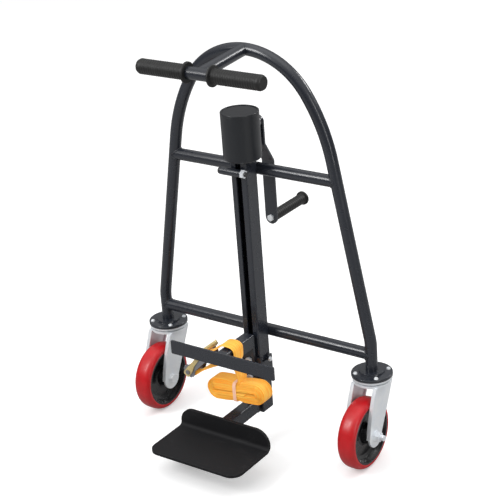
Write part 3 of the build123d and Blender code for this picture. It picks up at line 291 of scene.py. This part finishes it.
ANTHRACITE = rgb(0.0155, 0.0185, 0.0265)
materials = {
    "powder_coat": paint("powder_coat", ANTHRACITE, rgb(0.12, 0.125, 0.14), 0.27),
    "housing_coat": paint("housing_coat", rgb(0.0035, 0.0055, 0.009), rgb(0.09, 0.10, 0.11), 0.40, 0.08),
    "plate_coat": textured_paint("plate_coat"),
    "grip_rubber": rubber("grip_rubber"),
    "zinc": plated("zinc", rgb(0.97, 0.99, 1.0), rgb(0.88, 0.92, 0.97), 0.24, 0.42),
    "yellow_zinc": plated("yellow_zinc", rgb(0.90, 0.74, 0.36), rgb(0.72, 0.54, 0.22), 0.2, 0.38,
                          rgb(0.78, 0.66, 0.48)),
    "steel": turned("steel", rgb(0.50, 0.50, 0.52), 0.28),
    "gear_steel": turned("gear_steel", rgb(0.36, 0.36, 0.38), 0.34),
    "bronze": turned("bronze", rgb(0.66, 0.44, 0.20), 0.30),
    "nylon": moulded("nylon", rgb(0.62, 0.60, 0.54), rgb(0.74, 0.72, 0.66), 0.48),
    "black_cap": moulded("black_cap", rgb(0.010, 0.010, 0.010), rgb(0.018, 0.018, 0.018), 0.30, 0.3),
    "polyurethane": polyurethane("polyurethane"),
    "wheel_core": moulded("wheel_core", rgb(0.007, 0.007, 0.008), rgb(0.016, 0.016, 0.018), 0.24, 0.4),
    "webbing": webbing("webbing", rgb(1.0, 0.66, 0.12), rgb(1.0, 0.34, 0.010)),
    "tie": webbing("tie", rgb(0.95, 0.66, 0.50), rgb(0.88, 0.48, 0.32)),
}

for row in frame["record"]["subparts"]:
    mesh = nodes[row["node"]].data
    mesh.materials.clear()
    mesh.materials.append(materials[row["material_slot"]])


# ---- curves and bands -----------------------------------------------------------------

def smooth_path(points, step):
    """A curve through the points, as stations about one step apart."""
    ends = [points[0] * 2 - points[1]] + list(points) + [points[-1] * 2 - points[-2]]
    stations = []
    for a, b, c, d in zip(ends, ends[1:], ends[2:], ends[3:]):
        count = max(2, round((c - b).length / step))
        for i in range(count):
            t = i / count
            stations.append(0.5 * (
                2 * b + (c - a) * t + (2 * a - 5 * b + 4 * c - d) * t * t + (3 * b - a - 3 * c + d) * t ** 3
            ))
    stations.append(points[-1].copy())
    return stations


def piece_from(made, name):
    """Turns a finished bmesh into an object in the scene."""
    bmesh.ops.recalc_face_normals(made, faces=made.faces)
    mesh = bpy.data.meshes.new(name)
    made.to_mesh(mesh)
    made.free()
    piece = bpy.data.objects.new(name, mesh)
    bpy.context.scene.collection.objects.link(piece)
    return piece


SELVEDGE = 0.9 * MM
SWELL = 0.53


def band_profile(width, thickness):
    """The closed outline of a strap's section: (across, out) pairs with thinner selvedges."""
    half = width / 2
    top = [(-half, 0.0), (-half + SELVEDGE, thickness / 2), (-width / 6, thickness * SWELL),
           (width / 6, thickness * SWELL), (half - SELVEDGE, thickness / 2), (half, 0.0)]
    return top + [(a, -o) for a, o in reversed(top[1:-1])]


def band(name, centres, across, width, thickness, closed=False):
    """A strap through the centres. across(i) is its width direction at each station."""
    profile = band_profile(width, thickness)
    count = len(centres)
    made = bmesh.new()
    uv = made.loops.layers.uv.new("weave")
    rings, run = [], [0.0]
    for i, centre in enumerate(centres):
        before = centres[(i - 1) % count if closed else max(i - 1, 0)]
        after = centres[(i + 1) % count if closed else min(i + 1, count - 1)]
        tangent = (after - before).normalized()
        side = across(i)
        side = (side - tangent * side.dot(tangent)).normalized()
        out = side.cross(tangent)
        rings.append([made.verts.new(centre + side * a + out * o) for a, o in profile])
        if i:
            run.append(run[-1] + (centre - centres[i - 1]).length)
    pairs = list(zip(range(count - 1), range(1, count)))
    if closed:
        pairs.append((count - 1, 0))
    for i, j in pairs:
        for k in range(len(profile)):
            n = (k + 1) % len(profile)
            face = made.faces.new((rings[i][k], rings[i][n], rings[j][n], rings[j][k]))
            face.smooth = True
            end = run[j] if j else run[-1] + (centres[0] - centres[-1]).length
            values = ((run[i], k), (run[i], n), (end, n), (end, k))
            for loop, (u, m) in zip(face.loops, values):
                loop[uv].uv = (u, profile[m][0])
    if not closed:
        made.faces.new(rings[0])
        made.faces.new(list(reversed(rings[-1])))
    return piece_from(made, name)


def finish_strap(piece, slot_name):
    """Gives a band its material, rounds it off and lets it ride on the carriage."""
    piece.data.materials.append(materials[slot_name])
    rounding = piece.modifiers.new("rounding", "SUBSURF")
    rounding.levels = 1
    rounding.render_levels = 1
    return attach(piece, "carriage")


# ---- weld beads on the tube frame -------------------------------------------------------

BEAD_RADIUS = 1.7 * MM
BEAD_RIPPLE = 2.4 * MM
BEAD_STEP = 0.8 * MM
BEAD_SIDES = 8
RIPPLE_SHARE = 0.10
UNEVEN_SHARE = 0.08
UNEVEN_PER_METRE = 300
EDGE_TOLERANCE = 0.12 * MM


def coped_edge(node, start, heading, radius):
    """The outer edge of a tube's far end, as points in order round it."""
    first = heading.orthogonal().normalized()
    second = heading.cross(first)
    found = []
    for vertex in nodes[node].data.vertices:
        arm = vertex.co - start
        along = arm.dot(heading)
        spoke = arm - heading * along
        if along > 0 and abs(spoke.length - radius) < EDGE_TOLERANCE:
            found.append((math.atan2(spoke.dot(second), spoke.dot(first)), vertex.co.copy()))
    found.sort(key=lambda pair: pair[0])
    return [point for angle, point in found]


def even_loop(points, step):
    """The closed loop again, as points one step apart."""
    pairs = [(a, b) for a, b in zip(points, points[1:] + points[:1]) if (b - a).length > 1e-6]
    total = sum((b - a).length for a, b in pairs)
    count = round(total / step)
    loop, walked, wanted = [], 0.0, 0.0
    for a, b in pairs:
        length = (b - a).length
        while wanted < walked + length and len(loop) < count:
            loop.append(a.lerp(b, (wanted - walked) / length))
            wanted += total / count
        walked += length
    return loop


def weld(name, edge):
    """A rippled bead laid along a closed edge."""
    loop = even_loop(edge, BEAD_STEP)
    count = len(loop)
    middle_of_loop = sum(loop, Vector()) / count
    made = bmesh.new()
    rings = []
    for i, centre in enumerate(loop):
        tangent = (loop[(i + 1) % count] - loop[i - 1]).normalized()
        out = centre - middle_of_loop
        out = (out - tangent * out.dot(tangent)).normalized()
        side = tangent.cross(out)
        ripple = RIPPLE_SHARE * math.sin(2 * math.pi * i * BEAD_STEP / BEAD_RIPPLE)
        radius = BEAD_RADIUS * (1.0 + ripple + UNEVEN_SHARE * noise.noise(centre * UNEVEN_PER_METRE))
        ring = []
        for k in range(BEAD_SIDES):
            turn = 2 * math.pi * k / BEAD_SIDES
            spoke = out * math.cos(turn) + side * math.sin(turn)
            ring.append(made.verts.new(centre + spoke * radius))
        rings.append(ring)
    for a, b in zip(rings, rings[1:] + rings[:1]):
        for k in range(BEAD_SIDES):
            n = (k + 1) % BEAD_SIDES
            made.faces.new((a[k], a[n], b[n], b[k])).smooth = True
    bead = piece_from(made, name)
    bead.data.materials.append(materials["powder_coat"])
    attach(bead, "frame")


for level in ("upper", "lower"):
    bar_low, bar_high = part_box(f"{level}_crossbar")
    bar_middle = (bar_low + bar_high) / 2
    for side_name, side in (("left", -1.0), ("right", 1.0)):
        edge = coped_edge(f"{level}_crossbar", bar_middle, Vector((side, 0, 0)), (bar_high.y - bar_low.y) / 2)
        weld(f"{level}_{side_name}_weld", edge)

# ---- strap bundle ---------------------------------------------------------------------

bundle_low, bundle_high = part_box("strap_bundle")
bundle_centre = (bundle_low + bundle_high) / 2
BUNDLE_TILT = math.radians(6.0)
BUNDLE_HALF_LENGTH = 75.0 * MM
BUNDLE_HALF_HEIGHT = 25.0 * MM
LAYER_PITCH = 2.7 * MM
LAYER_THICKNESS = 2.2 * MM
BUNDLE_LAYERS = 8
BUNDLE_DOME = 6.0 * MM
STRAP_WIDTH = 33.0 * MM
STATION = 4.0 * MM
FIRST_LAP_START = 0.12
SMALLEST_TURN = 3.0 * MM
WANDER = 1.2 * MM
LAP_SHIFT = 1.0 * MM
SLACK_SHARE = 0.02
PINCH_SHARE = 0.13
PINCH_REACH = 16.0 * MM
bundle_along = Vector((math.cos(BUNDLE_TILT), 0, math.sin(BUNDLE_TILT)))
bundle_up = Vector((-math.sin(BUNDLE_TILT), 0, math.cos(BUNDLE_TILT)))


def pinch(along):
    """The tie squeezes the bundle at its middle."""
    return 1.0 - PINCH_SHARE * math.exp(-(along / PINCH_REACH) ** 2)


def racetrack(radius, straight, share):
    """A point on a long oval, share running from 0 to 1 round it: (along, up)."""
    total = 4 * straight + 2 * math.pi * radius
    run = (share % 1.0) * total
    if run < straight * 2:
        return straight - run, radius
    run -= straight * 2
    if run < math.pi * radius:
        angle = math.pi / 2 + run / radius
        return -straight + radius * math.cos(angle), radius * math.sin(angle)
    run -= math.pi * radius
    if run < straight * 2:
        return -straight + run, -radius
    angle = -math.pi / 2 + (run - straight * 2) / radius
    return straight + radius * math.cos(angle), radius * math.sin(angle)


def bundle_stations():
    """The strap wound round itself from the outside in, each lap a little loose."""
    straight = BUNDLE_HALF_LENGTH - BUNDLE_HALF_HEIGHT
    stations = []
    laps = 0.0
    while laps < BUNDLE_LAYERS:
        radius = BUNDLE_HALF_HEIGHT - LAYER_THICKNESS / 2 - laps * LAYER_PITCH
        if radius < SMALLEST_TURN:
            break
        a, u = racetrack(radius, straight, laps + FIRST_LAP_START)
        wander = noise.noise(Vector((laps * 5.0, 3.1, 0.4)))
        lap_shift = noise.noise(Vector((math.floor(laps), 9.0, 2.0)))
        slack = 1.0 + SLACK_SHARE * noise.noise(Vector((laps * 9.0, 0.2, 7.7)))
        dome = (0.5 - laps / BUNDLE_LAYERS) * BUNDLE_DOME
        depth = dome + WANDER * wander + LAP_SHIFT * lap_shift
        place = bundle_centre + bundle_along * a + bundle_up * (u * pinch(a) * slack)
        stations.append(place + Vector((0, depth, 0)))
        laps += STATION / (4 * straight + 2 * math.pi * radius)
    return stations


coil_stations = bundle_stations()
bundle = band("strap_bundle_coil", coil_stations, lambda i: Vector((0, 1, 0)), STRAP_WIDTH, LAYER_THICKNESS)
finish_strap(bundle, "webbing")
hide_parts("strap_bundle")


TIE_WIDTH = 9.0 * MM
TIE_THICKNESS = 1.2 * MM
TIE_STEPS = 72
TIE_SQUARENESS = 0.38
TIE_LEAN = 0.10
TIE_SIDE_GAP = 1.6 * MM
TIE_TOP_GAP = 1.0 * MM


def squared(amount):
    """A sine or cosine with its curve pushed out towards a square's corner."""
    return math.copysign(abs(amount) ** TIE_SQUARENESS, amount)


def tie_stations():
    """The strip that holds the bundle, a flat band once round its middle."""
    stations = []
    half_depth = STRAP_WIDTH / 2 + TIE_SIDE_GAP
    half_height = BUNDLE_HALF_HEIGHT * pinch(0.0) + TIE_TOP_GAP
    for i in range(TIE_STEPS):
        angle = 2 * math.pi * i / TIE_STEPS
        y = half_depth * squared(math.cos(angle))
        u = half_height * squared(math.sin(angle))
        stations.append(bundle_centre + bundle_up * u + Vector((0, y, 0)) + bundle_along * (TIE_LEAN * u))
    return stations


tie = band("bundle_tie", tie_stations(), lambda i: bundle_along, TIE_WIDTH, TIE_THICKNESS, closed=True)
finish_strap(tie, "tie")

# ---- strap loop, its two runs to the buckle, and the run up from the bundle --------------

arm_low, arm_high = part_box("upper_arm")
spool_low, spool_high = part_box("ratchet_spool")
web_low, web_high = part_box("strap_webbing")
strap_y = (web_low.y + web_high.y) / 2
arm_x = (arm_low.x + arm_high.x) / 2
spool_x = ((spool_low.x + spool_high.x) / 2 - arm_x) / MM
spool_z = ((spool_low.z + spool_high.z) / 2 - arm_high.z) / MM


def in_plane(x, z, y=0.0):
    """A place in the strap's plane, from the middle of the arm's top edge, in millimetres."""
    return Vector((arm_x + x * MM, strap_y + y * MM, arm_high.z + z * MM))


def leaning(amount, stations):
    """The width direction of a band that leans a little, more in the middle of its run."""
    def across(i):
        lean = amount * math.sin(math.pi * i / max(1, len(stations) - 1))
        return Vector((SWAY * lean, 1.0, lean)).normalized()
    return across


SWAY = 0.15
LOOP_LEAN = 0.10
HANG_LEAN = 0.05

# From the buckle's bolt over the arm, round under it, and down to the spool.
loop_points = [
    in_plane(spool_x + 43, spool_z + 33), in_plane(spool_x + 34, spool_z + 36),
    in_plane(spool_x + 36, spool_z + 44), in_plane(spool_x + 44, spool_z + 46.5), in_plane(-42, -16),
    in_plane(-27, -6), in_plane(-15, 4.5),
    in_plane(-2, 6.5), in_plane(10, 5), in_plane(16.5, -1), in_plane(17, -15), in_plane(15.5, -28),
    in_plane(8, -36), in_plane(-6, -37.5), in_plane(-26, -43), in_plane(-48, -54), in_plane(-70, -67),
    in_plane(spool_x + 6, spool_z - 11.5), in_plane(spool_x - 6, spool_z - 9.5),
    in_plane(spool_x - 10.5, spool_z), in_plane(spool_x - 6, spool_z + 9),
]
loop_stations = smooth_path(loop_points, STATION)
loop = band("strap_loop", loop_stations, leaning(LOOP_LEAN, loop_stations), STRAP_WIDTH, LAYER_THICKNESS)
finish_strap(loop, "webbing")
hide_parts("strap_webbing")

# The long end hangs from under the arm and becomes the bundle's outer lap.
hang_points = [
    in_plane(4, -39.5, 3), in_plane(9, -48, 7), in_plane(11, -62, 11), in_plane(11, -76, 14),
    in_plane(10, -90, 14),
]
hang_stations = smooth_path(hang_points, STATION)
hang = band("strap_hang", hang_stations, leaning(HANG_LEAN, hang_stations), STRAP_WIDTH, LAYER_THICKNESS)
finish_strap(hang, "webbing")

# ---- stage, light and camera ----------------------------------------------------------

FLOOR_HALF = 30.0
FLOOR_GLOW = 0.32


def floor():
    """A pale floor that looks brighter to the camera than the light it throws back on the object."""
    s = Shader("pale_floor")
    seen = s.mix(s.noise(3.0, 2.0), rgb(0.90, 0.90, 0.90), rgb(0.885, 0.885, 0.885))
    s.set(Base_Color=s.mix(s.seen_by_camera(), rgb(0.42, 0.42, 0.42), seen), Roughness=0.8)
    s.specular(0.1)
    glow = s.math("MULTIPLY", s.seen_by_camera(), FLOOR_GLOW)
    s.set(Emission_Color=rgb(1.0, 1.0, 1.0), Emission_Strength=glow)
    mesh = bpy.data.meshes.new("floor")
    corners = [(x * FLOOR_HALF, y * FLOOR_HALF, 0) for x, y in ((-1, -1), (1, -1), (1, 1), (-1, 1))]
    mesh.from_pydata(corners, [], [(0, 1, 2, 3)])
    mesh.materials.append(s.material)
    slab = bpy.data.objects.new("floor", mesh)
    bpy.context.scene.collection.objects.link(slab)


def softbox(name, place, size, power):
    """A soft rectangular lamp, aimed at the middle of the object."""
    lamp = bpy.data.lights.new(name, "AREA")
    lamp.shape = "RECTANGLE"
    lamp.size, lamp.size_y = size
    lamp.energy = power
    box = bpy.data.objects.new(name, lamp)
    box.location = place
    box.rotation_euler = (LIGHT_AIM - Vector(place)).to_track_quat("-Z", "Y").to_euler()
    bpy.context.scene.collection.objects.link(box)


WALL_TOP = 0.05
CEILING_EDGE = 0.9
WALL_LIGHT = 0.10
CEILING_LIGHT = 0.9
CAMERA_WHITE = 0.95


def studio_world():
    """White to the camera; for the object, a bright ceiling over darker walls."""
    world = bpy.data.worlds.new("studio")
    world.use_nodes = True
    tree = world.node_tree
    tree.nodes["Background"].inputs["Color"].default_value = rgb(1.0, 1.0, 1.0)
    place = tree.nodes.new("ShaderNodeTexCoord")
    split = tree.nodes.new("ShaderNodeSeparateXYZ")
    rise = tree.nodes.new("ShaderNodeMapRange")
    path = tree.nodes.new("ShaderNodeLightPath")
    blend = tree.nodes.new("ShaderNodeMix")
    rise.interpolation_type = "SMOOTHSTEP"
    rise.inputs["From Min"].default_value = WALL_TOP
    rise.inputs["From Max"].default_value = CEILING_EDGE
    rise.inputs["To Min"].default_value = WALL_LIGHT
    rise.inputs["To Max"].default_value = CEILING_LIGHT
    blend.inputs["B"].default_value = CAMERA_WHITE
    tree.links.new(place.outputs["Generated"], split.inputs["Vector"])
    tree.links.new(split.outputs["Z"], rise.inputs["Value"])
    tree.links.new(path.outputs["Is Camera Ray"], blend.inputs["Factor"])
    tree.links.new(rise.outputs["Result"], blend.inputs["A"])
    tree.links.new(blend.outputs["Result"], tree.nodes["Background"].inputs["Strength"])
    bpy.context.scene.world = world


floor()
studio_world()
LIGHT_AIM = Vector((0.0, 0.0, 0.45))
softbox("key_light", (-1.3, -2.2, 2.4), size=(0.7, 1.4), power=44)
softbox("fill_light", (2.8, -1.0, 1.4), size=(0.3, 2.0), power=14)
softbox("rim_light", (1.4, 2.4, 2.2), size=(1.4, 0.5), power=30)
softbox("top_light", (0.0, -0.1, 3.0), size=(2.2, 2.2), power=12)

VIEW_AZIMUTH = math.radians(36.6)
VIEW_ELEVATION = math.radians(23.6)
VIEW_ROLL = math.radians(-4.3)
VIEW_DISTANCE = 3.006
VIEW_LENS = 106.0
TARGET = Vector((0.0, 0.0242, 0.425))
back = Vector((
    math.sin(VIEW_AZIMUTH) * math.cos(VIEW_ELEVATION),
    -math.cos(VIEW_AZIMUTH) * math.cos(VIEW_ELEVATION),
    math.sin(VIEW_ELEVATION),
))
camera = bpy.data.objects.new("camera", bpy.data.cameras.new("camera"))
camera.data.lens = VIEW_LENS
camera.location = TARGET + back * VIEW_DISTANCE
look = (-back).to_track_quat("-Z", "Y").to_matrix().to_4x4() @ Matrix.Rotation(VIEW_ROLL, 4, "Z")
camera.rotation_euler = look.to_euler()
bpy.context.scene.collection.objects.link(camera)
bpy.context.scene.camera = camera
bpy.context.scene.view_settings.view_transform = "Standard"
bpy.context.scene.cycles.use_denoising = True
